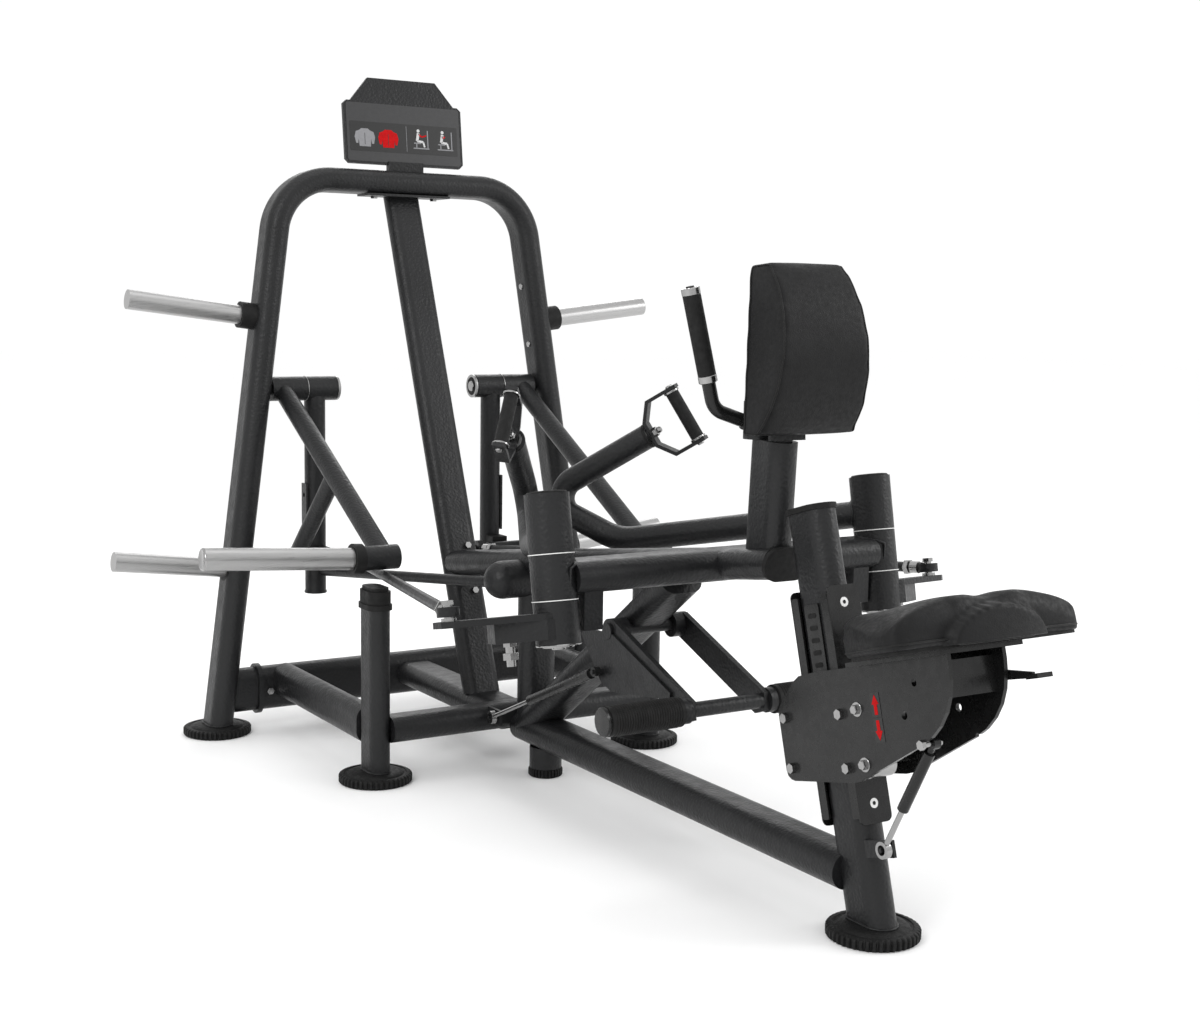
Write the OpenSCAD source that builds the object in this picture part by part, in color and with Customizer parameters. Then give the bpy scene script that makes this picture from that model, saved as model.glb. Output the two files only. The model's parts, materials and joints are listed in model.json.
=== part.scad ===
// Plate-loaded lateral row machine: frame, swinging arms, levers, seat and foot rest.
// +X is the user's right, +Y is the way the user faces, +Z is up. Millimetres.

/* [Frame] */
// overall height of the arch tube's top face
arch_h = 1426; // [1200:2:1600]
// half-distance between the arch legs at the floor
leg_x = 541; // [450:1:620]
// how far each arch leg leans in for each mm of height
leg_lean = 0.143; // [0:0.001:0.2]
// wide side of the frame tube
tube_w = 100; // [60:1:120]
// narrow side of the frame tube
tube_t = 60; // [40:1:80]
// radius of the round feet
foot_r = 84; // [50:1:110]
// height of the round feet
foot_h = 26; // [15:1:40]

/* [Arms] */
// diameter of the swinging row arm tube
arm_d = 56; // [40:1:70]
// diameter of the pivot sleeves at the foot of each arm
sleeve_d = 84; // [60:1:100]
// radius of the arm's pivot shaft
shaft_r = 20; // [12:0.5:24]
// diameter of the link rod
link_d = 22; // [16:1:26]
// diameter of the hand grips
grip_d = 30; // [25:1:38]

/* [Levers] */
// diameter of the lever's sloping tube
lever_d = 48; // [38:1:60]
// diameter of the plate horn
horn_d = 50; // [45:0.5:51]
// length of the plate horn outside its collar
horn_len = 341; // [200:1:420]

/* [Seat] */
// lean of the seat post, degrees
post_lean = 16.06; // [10:0.1:22]
// thickness of the seat pad
seat_t = 82; // [50:1:110]
// radius of the carriage rollers
roller_r = 24; // [15:0.5:28]

/* [Foot rest] */
// radius of the padded foot rollers
foot_roller_r = 30; // [22:1:45]

/* [Hidden] */
shift_y = 306;
mx = [1, 0, 0];

charcoal = [0.16, 0.165, 0.17];
rubber = [0.05, 0.05, 0.05];
steel = [0.75, 0.76, 0.78];
vinyl = [0.08, 0.08, 0.085];

// ---- helpers ----
function unit(v) = v / norm(v);
function euler(ex, ey, ez) = [atan2(ey[2], ez[2]), -asin(ex[2]), atan2(ex[1], ex[0])];
module put() { translate([0, shift_y, 0]) children(); }
module pair() { children(); mirror(mx) children(); }
module oval(w, t) {
  square([w - t, t], center = true);
  for (s = [-1, 1]) translate([s * (w - t) / 2, 0]) circle(d = t, $fn = 48);
}
// stadium section, wx along X and wy along Y
module stadium(wx, wy) {
  if (wx >= wy) oval(wx, wy);
  else rotate(90) oval(wy, wx);
}
// round bar from p to q
module seg(p, q, d) {
  v = q - p; l = norm(v);
  translate(p) rotate([0, acos(v[2] / l), atan2(v[1], v[0])]) cylinder(h = l, d = d, $fn = 48);
}
module ball(p, d) { translate(p) sphere(d = d, $fn = 48); }
// stadium tube between two points of one Y-Z plane
module yz_tube(p, q, wx, wy) {
  v = q - p;
  translate(p) rotate([-atan2(v[1], v[2]), 0, 0])
    linear_extrude(norm(v)) stadium(wx, wy);
}
// stadium tube along X, wy along Y and wz along Z
module x_tube(x0, x1, y, z, wy, wz) {
  translate([x0, y, z]) rotate([0, 90, 0]) linear_extrude(x1 - x0) stadium(wz, wy);
}
// round tube bend at corner q, from p towards r, with centreline radius br
module bend(p, q, r, br, d) {
  u = unit(q - p); v = unit(r - q);
  phi = acos(u * v); n = unit(v - (v * u) * u);
  c = q - br * tan(phi / 2) * u + br * n;
  translate(c) rotate(euler(-n, u, cross(u, n)))
    rotate_extrude(angle = phi, $fn = 64) translate([br, 0]) circle(d = d, $fn = 48);
}
function before(p, q, r, br) =
  q - br * tan(acos(unit(q - p) * unit(r - q)) / 2) * unit(q - p);
function after(p, q, r, br) =
  q + br * tan(acos(unit(q - p) * unit(r - q)) / 2) * unit(r - q);
module hex(d, h) { cylinder(d = d, h = h, $fn = 6); }

// ---- arch ----
lean_a = atan(leg_lean);
back_a = 2.06;
bar_z = arch_h - 30;
bend_r = 150;
bx = leg_x - leg_lean * (bar_z - bend_r + bend_r * sin(lean_a)) - bend_r * cos(lean_a);
function leg_y(z) = 726.5 + z * tan(back_a);
module leg_side() {
  tz = bar_z - bend_r + bend_r * sin(lean_a);
  tx = bx + bend_r * cos(lean_a);
  l = tz / cos(lean_a) - 5;
  translate([tx, 0, tz]) rotate([0, -lean_a, 0]) translate([0, 0, -l])
    linear_extrude(l) stadium(tube_t, tube_w);
  translate([bx, 0, bar_z - bend_r]) rotate([90, 0, 0]) rotate([0, 0, lean_a])
    rotate_extrude(angle = 90 - lean_a, $fn = 96) translate([bend_r, 0]) stadium(tube_t, tube_w);
}
module arch_solid() {
  difference() {
    translate([0, 726.5, 0]) rotate([-back_a, 0, 0]) {
      leg_side(); mirror(mx) leg_side();
      x_tube(-bx, bx, 0, bar_z, tube_w, tube_t);
    }
    translate([-800, 500, -100]) cube([1600, 500, 100 + foot_h]);
  }
}
module arch() { color(charcoal) put() arch_solid(); }

// ---- base frame ----
module rear_crossbeam() {
  color(charcoal) put() difference() {
    union() {
      x_tube(-506, 506, 730, 104, 60, 112);
      for (s = [-1, 1]) x_tube(s * 434 - 6, s * 434 + 6, 730, 104, 76, 128);
    }
    arch_solid();
  }
}
module side_rails() {
  color(charcoal) put() pair()
    translate([367, 181, 124]) rotate([-90, 0, 0]) linear_extrude(522) stadium(60, 88);
}
module centre_rail() {
  color(charcoal) put()
    translate([0, 160, 106]) rotate([-90, 0, 0]) linear_extrude(543) stadium(110, 60);
}
module front_crossbeam() { color(charcoal) put() x_tube(-345, 345, 124, 124, 84, 60); }
module bumper_posts() {
  color(charcoal) put() pair() translate([367, 142, foot_h])
    linear_extrude(402 - foot_h) stadium(50, 88);
}
post_top = [0, -951, 726];
post_foot = [0, -1160, 0];
// post frame: X stays, Y' runs rearward from the post, Z' runs up the post
module on_post() {
  translate(post_foot) rotate([-post_lean, 0, 0]) mirror([0, 1, 0]) children();
}
module rubber_stops() {
  color(rubber) put() {
    pair() translate([367, 142, 402]) {
      linear_extrude(12) stadium(60, 99);
      linear_extrude(42) stadium(54, 92);
      linear_extrude(50) stadium(44, 82);
    }
    pair() difference() {
      translate([236, 710.6, 404]) cube([44, 50, 52]);
      seg([256, 768, 330], [256, 768, 500], 54);
    }
    on_post() translate([0, 0, 756]) linear_extrude(10) stadium(66, 106);
    translate([0, -875, 622]) rotate([97.85, 0, 0]) linear_extrude(10) stadium(104, 64);
  }
}
module base_beam() {
  color(charcoal) put() difference() {
    translate([0, -1100, 103.5]) rotate([-90, 0, 0]) linear_extrude(1184) stadium(100, 69);
    post_solid();
  }
}
module post_solid() {
  difference() {
    on_post() translate([0, 0, -30]) linear_extrude(786) stadium(60, 100);
    translate([-200, -1400, -100]) cube([400, 400, 100 + foot_h]);
  }
}
module seat_post() { color(charcoal) put() post_solid(); }
module feet() {
  color([0.1, 0.1, 0.1]) put() {
    for (p = [[leg_x - leg_lean * 13, 727.5, foot_r], [367, 142, foot_r]]) pair()
      translate([p[0], p[1], 0]) {
        cylinder(r = p[2], h = 18, $fn = 96);
        cylinder(r = p[2] - 10, h = foot_h, $fn = 96);
      }
    translate([0, -1156, 0]) {
      cylinder(r = foot_r, h = 18, $fn = 96);
      cylinder(r = foot_r - 10, h = foot_h, $fn = 96);
    }
    cylinder(r = 40, h = 20, $fn = 64);
    cylinder(d = 75, h = 69, $fn = 64);
  }
}

// ---- upper frame ----
module spine() {
  color(charcoal) put() difference() {
    translate([0, 325, 135]) rotate([-21.03, 0, 0]) translate([0, 0, -40])
      linear_extrude(1400) stadium(95, 50);
    translate([-100, 600, 1360]) cube([200, 500, 300]);
    translate([-100, 200, 0]) cube([200, 400, 132]);
  }
}
beam_p = [0, 428, 442.3];
beam_q = [0, -876, 622.1];
module beam_solid() { yz_tube(beam_p, beam_q, tube_w, tube_t); }
module top_beam() { color(charcoal) put() beam_solid(); }
module crossbar() {
  color(charcoal) put() difference() {
    x_tube(-356, 356, -687, 596, tube_w, tube_t);
    beam_solid();
  }
}
module strut() {
  color(charcoal) put() {
    yz_tube([0, 58, 107], [0, -538, 541], tube_w, tube_t);
    translate([-97, -420, 423]) rotate([0, 90, 0]) cylinder(r = 12, h = 194, $fn = 48);
    for (s = [-1, 1]) translate([s * 98.5, -420, 423]) rotate([0, 90, 0])
      cylinder(r = 17, h = 5, center = true, $fn = 48);
  }
}
module centre_mast() {
  color(charcoal) put() difference() {
    union() {
      translate([0, 50, 134]) linear_extrude(300) stadium(90, 60);
      seg([-90, 50, 460], [90, 50, 460], 88);
      for (s = [-1, 1]) ball([s * 90, 50, 460], 88);
    }
    beam_solid();
  }
}
module pivot_supports() {
  color(charcoal) put() pair() {
    difference() {
      union() {
        seg([256, 768, 338], [256, 768, 846], 54);
        translate([281, 752, 470]) cube([6, 32, 150]);
      }
      translate([196, 766, 865]) rotate([0, 90, 0]) cylinder(d = 62, h = 100, $fn = 64);
      for (z = [500, 590]) translate([270, 768, z]) rotate([0, 90, 0])
        cylinder(r = 6, h = 30, $fn = 32);
    }
    translate([256, 768, 333]) cylinder(d = 58, h = 5, $fn = 64);
  }
}
module support_braces() {
  color(charcoal) put() pair() seg([246, 750, 391], [104, 62, 453], 25);
}
module lever_shafts() {
  color(steel) put() pair() translate([198, 766, 865]) rotate([0, 90, 0]) {
    cylinder(d = 58, h = 6, $fn = 64);
    translate([0, 0, 6]) cylinder(d = 62, h = 77.5, $fn = 64);
    cylinder(r = 15, h = 196, $fn = 48);
  }
}

// ---- row pivots: frame with Z' along the tilted pivot axis ----
axis_a = 10.72;
piv = [-384.8, -709.9, 476.8];
module on_pivot() { translate(piv) rotate([-axis_a, 0, 0]) children(); }
module fixed_sleeves() {
  color(charcoal) put() pair() {
    on_pivot() difference() {
      union() {
        translate([0, 0, 80]) cylinder(d = sleeve_d, h = 83, $fn = 64);
        translate([0, 0, 78.6]) cylinder(d = sleeve_d - 12, h = 86, $fn = 64);
      }
      translate([0, 0, 70]) cylinder(r = shaft_r + 0.05, h = 110, $fn = 64);
    }
    difference() {
      translate([-338, -722, 498]) cube([40, 66, 80]);
      x_tube(-400, -200, -687, 596, tube_w, tube_t);
    }
  }
}

// ---- chest support ----
pad_a = 5;
module chest_post() {
  color(charcoal) put() {
    difference() {
      yz_tube([0, -824, 620], [0, -837, 848], 60, 100);
      beam_solid();
    }
    translate([0, -803, 848]) linear_extrude(70) stadium(86, 50);
    translate([0, -877.5, 846]) rotate([-pad_a, 0, 0]) translate([-40, 0.5, 4]) {
      cube([80, 8, 280]);
      translate([24, 8, -6]) cube([32, 30, 70]);
    }
  }
}
module chest_pad() {
  color(vinyl) put() translate([0, -878, 857]) rotate([-pad_a, 0, 0]) intersection() {
    translate([-130, 0, 0]) rotate([90, 0, 90]) linear_extrude(260) intersection() {
      translate([-140, 0]) square([140, 315]);
      translate([98.9, 163.4]) circle(r = 221, $fn = 128);
    }
    rotate([90, 0, 0]) translate([0, 0, -10]) linear_extrude(170)
      polygon([[-116, 0], [116, 0], [88, 315], [-88, 315]]);
  }
}
h0 = [41, -803, 880];
h1 = [112, -796, 904];
h2 = [166, -790, 1124];
module chest_handles() {
  color(steel) put() pair() {
    seg(h0, h1, 26);
    ball(h1, 30);
    seg(h1, h2, 26);
  }
}
module chest_grips() {
  color(rubber) put() pair() difference() {
    seg(h2 - 162 * unit(h2 - h1), h2 - 12 * unit(h2 - h1), 34);
    seg(h1, h2 + 10 * unit(h2 - h1), 26);
  }
}

// ---- storage pegs and top panel ----
peg_lo = [506, 741.6, 418];
peg_hi = [452, 764.5, 1051];
module storage_pegs() {
  color(steel) put() difference() {
    pair() {
      seg(peg_hi - [70, 0, 9], peg_hi + [286, -3, 35], 48);
      seg(peg_lo - [60, 0, 7], peg_lo + [284, -3, 35], 48);
    }
    arch_solid();
    pegs_inner();
  }
}
module pegs_inner() {
  pair() {
    translate([0, 600, 900]) cube([peg_hi[0] - 62, 400, 300]);
    translate([0, 600, 300]) cube([peg_lo[0] - 52, 400, 300]);
  }
}
module peg_collars() {
  color(rubber) put() difference() {
    pair() {
      seg(peg_hi - [40, 0, 5], peg_hi + [6, 0, 1], 66);
      seg(peg_lo - [40, 0, 5], peg_lo + [6, 0, 1], 66);
    }
    pair() {
      seg(peg_hi - [70, 0, 9], peg_hi + [286, -3, 35], 48);
      seg(peg_lo - [60, 0, 7], peg_lo + [284, -3, 35], 48);
    }
    arch_solid();
  }
}
module placard() {
  color(charcoal) put() {
    translate([0, 771, 1441]) rotate([-7, 0, 0]) rotate([90, 0, 0])
      linear_extrude(10, center = true) union() {
        polygon([[-168, 10], [-168, 152], [-158, 161], [-147, 161], [-96, 222],
          [96, 222], [147, 161], [158, 161], [168, 152], [168, 10], [158, 0], [-158, 0]]);
      }
    difference() {
      translate([-50, 763, 1420]) cube([100, 14, 30]);
      arch_solid();
      translate([0, 771, 1441]) rotate([-7, 0, 0]) translate([-80, -5, 0]) cube([160, 10, 60]);
    }
    translate([-115, 738, 1360]) cube([230, 78, 6]);
  }
}

// ---- seat post fittings ----
module wear_plates() {
  color(steel) put() on_post() {
    for (s = [-1, 1]) {
      translate([-36, s > 0 ? 50 : -53, 197]) cube([72, 3, 420]);
      for (k = [-1, 1]) translate([k * 33.5 - 2, s > 0 ? 32 : -50, 209]) cube([4, 18, 396]);
    }
    difference() {
      translate([-34, -20, 440]) cube([4, 40, 150]);
      for (z = [455:22:575]) translate([-36, -9, z]) cube([8, 18, 9]);
    }
  }
}
module frame_bolts() {
  color(steel) put() {
    for (x = [-85, 85]) translate([x, 776, 1354]) hex(19, 6);
    for (z = [247, 363]) translate([0, 325, 135]) rotate([-21.03, 0, 0])
      translate([14, -25, z]) rotate([90, 0, 0]) hex(17, 9);
    pair() for (z = [514, 546]) translate([-298, -690, z]) rotate([0, 90, 0]) hex(17, 9);
    pair() translate([410, 700, 101]) rotate([90, 0, 0]) hex(19, 9);
  }
}

// ---- seat carriage, in the post frame: Y' rearward, Z' up the post ----
gas_x = -41;
gas_top = [275, 330];
gas_bot = [110, 157];
module carriage_side(x) {
  translate([x, 0, 0]) rotate([90, 0, 90]) linear_extrude(8, center = true) difference() {
    polygon([[-44, 458], [-86, 424], [-95, 414], [-99, 402], [-99, 304], [-96, 293], [-88, 286],
      [-78, 283], [84, 274], [104, 276], [268, 328], [296, 340], [320, 357], [339, 378], [352, 402],
      [359, 428], [362, 452], [362, 470], [130, 470], [20, 470], [-26, 467]]);
    translate([240, 380]) circle(r = 7, $fn = 32);
  }
}
module carriage_plates() {
  color([0.1, 0.1, 0.1]) put() on_post() {
    for (s = [-1, 1]) difference() {
      carriage_side(s * 60);
      roller_axles(8.4);
      translate([0, gas_top[0], gas_top[1]]) rotate([0, 90, 0])
        cylinder(r = 5, h = 200, center = true, $fn = 48);
      translate([0, 275, 431]) rotate([0, 90, 0])
        cylinder(r = 6, h = 200, center = true, $fn = 48);
    }
    difference() {
      translate([-90, 140, 470]) cube([180, 236, 8]);
    }
    translate([-56, 330, 400]) cube([112, 8, 60]);
  }
}
module roller_axles(d) {
  for (p = [[-77.5, 396], [-77.5, 306], [77.5, 393], [77.5, 300]])
    translate([-66, p[0], p[1]]) rotate([0, 90, 0]) cylinder(d = d, h = 132, $fn = 32);
}
module carriage_rollers() {
  color(steel) put() on_post() {
    for (p = [[-77.5, 396], [-77.5, 306], [77.5, 393], [77.5, 300]]) {
      translate([-24, p[0], p[1]]) rotate([0, 90, 0]) cylinder(r = roller_r, h = 48, $fn = 64);
      for (s = [-1, 1]) translate([s * 64, p[0], p[1]]) rotate([0, s * 90, 0]) hex(19, 9);
    }
    roller_axles(8.4);
    translate([-64, gas_top[0], gas_top[1]]) rotate([0, 90, 0])
      cylinder(r = 5, h = 38, $fn = 48);
    translate([-72, gas_top[0], gas_top[1]]) rotate([0, 90, 0]) hex(17, 8);
  }
}
// half outline of the seat pad: [half-width, distance rearward of the post]
seat_half = [[0, 97], [36, 101], [66, 114], [92, 138], [118, 170], [150, 214], [178, 262],
  [200, 312], [210, 350], [211, 380], [204, 402], [188, 413], [160, 416], [120, 418],
  [104, 424], [80, 431], [40, 437], [0, 438]];
module seat_outline() {
  n = len(seat_half);
  polygon(concat([for (i = [0:n - 1]) seat_half[i]],
    [for (i = [n - 2:-1:1]) [-seat_half[i][0], seat_half[i][1]]]));
}
module seat_pad() {
  color(vinyl) put() on_post() translate([0, 0, 478]) linear_extrude(seat_t) seat_outline();
}
module seat_paddle() {
  color([0.12, 0.12, 0.12]) put() on_post() difference() {
    union() {
      translate([66, 0, 0]) rotate([90, 0, 90]) linear_extrude(6) {
        polygon([[262, 424], [286, 418], [410, 414], [410, 424], [300, 440], [264, 440]]);
        translate([275, 431]) circle(r = 14, $fn = 48);
      }
      translate([60, 400, 413]) cube([34, 26, 8]);
    }
    translate([50, 275, 431]) rotate([0, 90, 0]) cylinder(r = 6.05, h = 60, $fn = 48);
  }
}
// gas springs: own frame with Z' from the top eye to the far eye
module gas_cyl(len, d, open_d) {
  difference() {
    union() {
      rotate([0, 90, 0]) cylinder(r = 10, h = 14, center = true, $fn = 48);
      translate([0, 0, 4]) cylinder(d = 12, h = 20, $fn = 48);
      translate([0, 0, 20]) cylinder(d = d, h = len - 20, $fn = 64);
    }
    rotate([0, 90, 0]) cylinder(r = 5.05, h = 40, center = true, $fn = 48);
    translate([0, 0, 34]) cylinder(r = 5.05, h = len, $fn = 48);
  }
}
module gas_rod(z0, len) {
  difference() {
    union() {
      translate([0, 0, z0]) cylinder(r = 5, h = len - z0 - 8, $fn = 48);
      translate([0, 0, len]) rotate([0, 90, 0]) cylinder(r = 15, h = 12, center = true, $fn = 48);
    }
    translate([0, 0, len]) rotate([0, 90, 0]) cylinder(r = 9, h = 40, center = true, $fn = 48);
  }
}
module on_seat_gas() {
  v = [0, gas_bot[0] - gas_top[0], gas_bot[1] - gas_top[1]];
  on_post() translate([gas_x, gas_top[0], gas_top[1]]) rotate([-atan2(v[1], v[2]), 0, 0])
    children();
}
module seat_gas_cylinder() { color([0.06, 0.06, 0.06]) put() on_seat_gas() gas_cyl(146, 20, 0); }
module seat_gas_rod() { color(steel) put() on_seat_gas() gas_rod(42, 239.1); }

// ---- foot rest ----
foot_x = -116;
fgas_top = [-405, 337];
fgas_bot = [50, 140];
module gas_brackets() {
  color(charcoal) put() {
    on_post() {
      translate([gas_x + 10, 48, 142]) cube([6, 74, 30]);
      translate([gas_x - 9, gas_bot[0], gas_bot[1]]) rotate([0, 90, 0])
        cylinder(r = 4, h = 24, $fn = 48);
    }
    translate([foot_x + 11, 34, 122]) cube([8, 56, 34]);
    translate([foot_x - 9, fgas_bot[0], fgas_bot[1]]) rotate([0, 90, 0])
      cylinder(r = 4, h = 24, $fn = 48);
  }
}
module footrest_frame() {
  color(charcoal) put() {
    difference() {
      union() {
        for (s = [-1, 1]) {
          translate([s * 75.5, -420, 423]) rotate([0, 90, 0])
            cylinder(r = 26, h = 38, center = true, $fn = 64);
          translate([s * 88, 0, 0]) rotate([90, 0, 90]) linear_extrude(12, center = true)
            polygon([[-430, 449], [-412, 398], [-690, 288], [-722, 300], [-718, 336]]);
        }
        translate([-97, 0, 0]) rotate([90, 0, 90]) linear_extrude(6, center = true)
          polygon([[-318, 400], [-330, 416], [-440, 420], [-655, 342], [-655, 328], [-440, 300],
            [-400, 312]]);
      }
      translate([0, -420, 423]) rotate([0, 90, 0])
        cylinder(r = 12.05, h = 400, center = true, $fn = 64);
      translate([-104, -420, 423]) rotate([0, 90, 0]) cylinder(r = 17.6, h = 9.4, $fn = 64);
    }
    seg([-82, -706, 317], [82, -706, 317], 30);
    pair() {
      seg([94, -706, 317], [111, -706, 317], 50);
      seg([111, -706, 317], [282, -706, 317], 24);
    }
    seg([-127, fgas_top[0], fgas_top[1]], [-100, fgas_top[0], fgas_top[1]], 10);
  }
}
module foot_rollers() {
  color(rubber) put() pair() difference() {
    union() {
      seg([112, -706, 317], [280, -706, 317], 2 * foot_roller_r);
      seg([280, -706, 317], [288, -706, 317], 50);
    }
    seg([100, -706, 317], [282, -706, 317], 24);
  }
}
module on_foot_gas() {
  v = [0, fgas_bot[0] - fgas_top[0], fgas_bot[1] - fgas_top[1]];
  translate([foot_x, fgas_top[0], fgas_top[1]]) rotate([-atan2(v[1], v[2]), 0, 0]) children();
}
module foot_gas_cylinder() { color([0.06, 0.06, 0.06]) put() on_foot_gas() gas_cyl(300, 22, 0); }
module foot_gas_rod() { color(steel) put() on_foot_gas() gas_rod(150, 495.8); }

// ---- row arms (left side, mirrored for the right) ----
arm_p = [-384.8, -672.8, 673];
arm_b = [-113, -127, 562];
arm_k = [-16, 66, 641];
arm_e = [-177, -146, 800];
e_dir = unit(arm_e - arm_k);
g_raw = [0.431, 0.384, 0.817];
g_dir = unit(g_raw - (g_raw * e_dir) * e_dir);
module row_arm() {
  color(charcoal) put() {
    on_pivot() {
      translate([0, 0, 165.2]) cylinder(d = sleeve_d, h = 110, $fn = 64);
      translate([0, 0, 2]) cylinder(r = shaft_r, h = 165, $fn = 64);
    }
    difference() {
      union() {
        seg(arm_p, before(arm_p, arm_b, arm_k, 150), arm_d);
        bend(arm_p, arm_b, arm_k, 150, arm_d);
        seg(after(arm_p, arm_b, arm_k, 150), before(arm_b, arm_k, arm_e, 46), arm_d);
        bend(arm_b, arm_k, arm_e, 46, arm_d);
        seg(after(arm_b, arm_k, arm_e, 46), arm_e, arm_d);
      }
      seg(arm_e - 60 * e_dir, arm_e + 5 * e_dir, 16.1);
    }
  }
}
module left_row_arm() { row_arm(); }
module right_row_arm() { mirror(mx) row_arm(); }
module lug() {
  color(charcoal) put() on_pivot() difference() {
    union() {
      cylinder(d = sleeve_d, h = 78, $fn = 64);
      translate([0, 0, 10]) linear_extrude(37)
        polygon([[0, -36], [-40, -34], [-118, 22], [-108, 70], [-30, 40], [0, 36]]);
      translate([0, 0, 46]) linear_extrude(12)
        polygon([[0, -34], [-40, -32], [-196, 24], [-214, 40], [-216, 70], [-200, 84],
          [-170, 84], [-30, 38], [0, 34]]);
    }
    translate([0, 0, -5]) cylinder(r = shaft_r, h = 100, $fn = 64);
  }
}
module left_lug() { lug(); }
module right_lug() { mirror(mx) lug(); }
rod_a = [-190.2, 56.9, 75.1];
module rod_ends() {
  color(steel) put() on_pivot() {
    translate([rod_a[0], rod_a[1], 58]) cylinder(r = 8, h = 36, $fn = 48);
    translate([rod_a[0], rod_a[1], 58]) cylinder(r = 14, h = 6, $fn = 48);
    translate([rod_a[0], rod_a[1], 88]) hex(24, 8);
    translate([-79, 40, -34]) cylinder(r = 9, h = 44, $fn = 48);
    translate([-79, 40, -22]) hex(32, 12);
    translate([-79, 40, 2]) hex(28, 8);
  }
}
module left_rod_ends() { rod_ends(); }
module right_rod_ends() { mirror(mx) rod_ends(); }

// ---- swivel handles: X' along the swivel, Y' along the grip ----
module on_handle() {
  translate(arm_e) rotate(euler(e_dir, g_dir, cross(e_dir, g_dir))) children();
}
module handle_frame() {
  color(charcoal) put() on_handle() {
    translate([3, 0, 0]) linear_extrude(28, center = true)
      polygon([[0, -30], [0, 30], [32, 71], [110, 71], [110, 63], [36, 63], [8, 27],
        [8, -27], [36, -63], [110, -63], [110, -71], [32, -71]]);
    translate([-46, 0, 0]) rotate([0, 90, 0]) cylinder(r = 8, h = 52, $fn = 48);
    translate([0.8, 0, 0]) rotate([0, 90, 0]) cylinder(r = 17, h = 5, $fn = 48);
  }
}
module left_handle_frame() { handle_frame(); }
module right_handle_frame() { mirror(mx) handle_frame(); }
module handle_grip() {
  color(rubber) put() on_handle() translate([96, -63, 0]) rotate([-90, 0, 0]) {
    cylinder(d = grip_d, h = 126, $fn = 48);
    cylinder(d = grip_d + 5, h = 5, $fn = 48);
    translate([0, 0, 121]) cylinder(d = grip_d + 5, h = 5, $fn = 48);
  }
}
module left_handle_grip() { handle_grip(); }
module right_handle_grip() { mirror(mx) handle_grip(); }

// ---- link rod ----
link_b = [-185, 695, 430];
link_a = [-575, -640, 540];
link_u = unit(link_b - link_a);
module link_rod() {
  color(steel) put() difference() {
    union() {
      on_pivot() translate([rod_a[0], rod_a[1], 66]) cylinder(r = 21, h = 18, $fn = 64);
      seg(link_a + 14 * link_u, link_b - 16 * link_u, link_d);
      translate([-194, link_b[1], link_b[2]]) rotate([0, 90, 0]) cylinder(r = 22, h = 18, $fn = 64);
    }
    on_pivot() translate([rod_a[0], rod_a[1], 40]) cylinder(r = 8.05, h = 90, $fn = 48);
    translate([-220, link_b[1], link_b[2]]) rotate([0, 90, 0]) cylinder(r = 10, h = 70, $fn = 48);
  }
}
module left_link_rod() { link_rod(); }
module right_link_rod() { mirror(mx) link_rod(); }

// ---- levers ----
lev_x = -345;
module lever() {
  color(charcoal) put() difference() {
    union() {
      translate([-378, 766, 865]) rotate([0, 90, 0]) cylinder(d = 62, h = 94, $fn = 64);
      seg([lev_x, 766, 865], [lev_x, 142, 517], lever_d);
      seg([-400, 142, 517], [-314, 142, 517], 56);
    }
    translate([-400, 766, 865]) rotate([0, 90, 0]) cylinder(r = 15.05, h = 150, $fn = 64);
  }
}
module left_lever() { lever(); }
module right_lever() { mirror(mx) lever(); }
module lever_brace() {
  color(charcoal) put() {
    difference() {
      union() {
        seg([lev_x, 430, 672], [lev_x, 693, 432], 42);
        ball([lev_x, 693, 432], 44);
      }
      seg([lev_x, 766, 865], [lev_x, 142, 517], lever_d);
    }
    seg([lev_x, 695, 430], [-212, 695, 430], 30);
    seg([-213, 695, 430], [-146, 695, 430], 14);
    seg([-152, 695, 430], [-146, 695, 430], 26);
  }
}
module left_lever_brace() { lever_brace(); }
module right_lever_brace() { mirror(mx) lever_brace(); }
horn_p = [-400, 142, 517];
horn_q = [-424 - horn_len, 142, 540];
horn_u = unit(horn_q - horn_p);
module plate_horn() {
  color(steel) put() {
    seg(horn_p, horn_p + 24.5 * horn_u, horn_d - 4);
    seg(horn_p + 24.5 * horn_u, horn_q, horn_d);
  }
}
module left_plate_horn() { plate_horn(); }
module right_plate_horn() { mirror(mx) plate_horn(); }
module horn_collar() {
  color(rubber) put() difference() {
    seg(horn_p, horn_p + 24 * horn_u, 68);
    seg(horn_p - 20 * horn_u, horn_p + 30 * horn_u, horn_d - 4);
    translate([-400, 50, 400]) cube([60, 200, 200]);
  }
}
module left_horn_collar() { horn_collar(); }
module right_horn_collar() { mirror(mx) horn_collar(); }

arch();
rear_crossbeam();
side_rails();
centre_rail();
front_crossbeam();
bumper_posts();
rubber_stops();
base_beam();
seat_post();
spine();
top_beam();
crossbar();
strut();
centre_mast();
pivot_supports();
support_braces();
lever_shafts();
fixed_sleeves();
chest_post();
chest_pad();
chest_handles();
chest_grips();
storage_pegs();
peg_collars();
placard();
feet();
wear_plates();
frame_bolts();
gas_brackets();
left_row_arm();
right_row_arm();
left_lug();
right_lug();
left_rod_ends();
right_rod_ends();
left_handle_frame();
right_handle_frame();
left_handle_grip();
right_handle_grip();
left_link_rod();
right_link_rod();
left_lever();
right_lever();
left_lever_brace();
right_lever_brace();
left_plate_horn();
right_plate_horn();
left_horn_collar();
right_horn_collar();
carriage_plates();
carriage_rollers();
seat_pad();
seat_paddle();
seat_gas_cylinder();
seat_gas_rod();
footrest_frame();
foot_rollers();
foot_gas_cylinder();
foot_gas_rod();
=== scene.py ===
import json
import math
import bpy
import bmesh
from mathutils import Matrix, Vector
from mathutils.bvhtree import BVHTree


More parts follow.
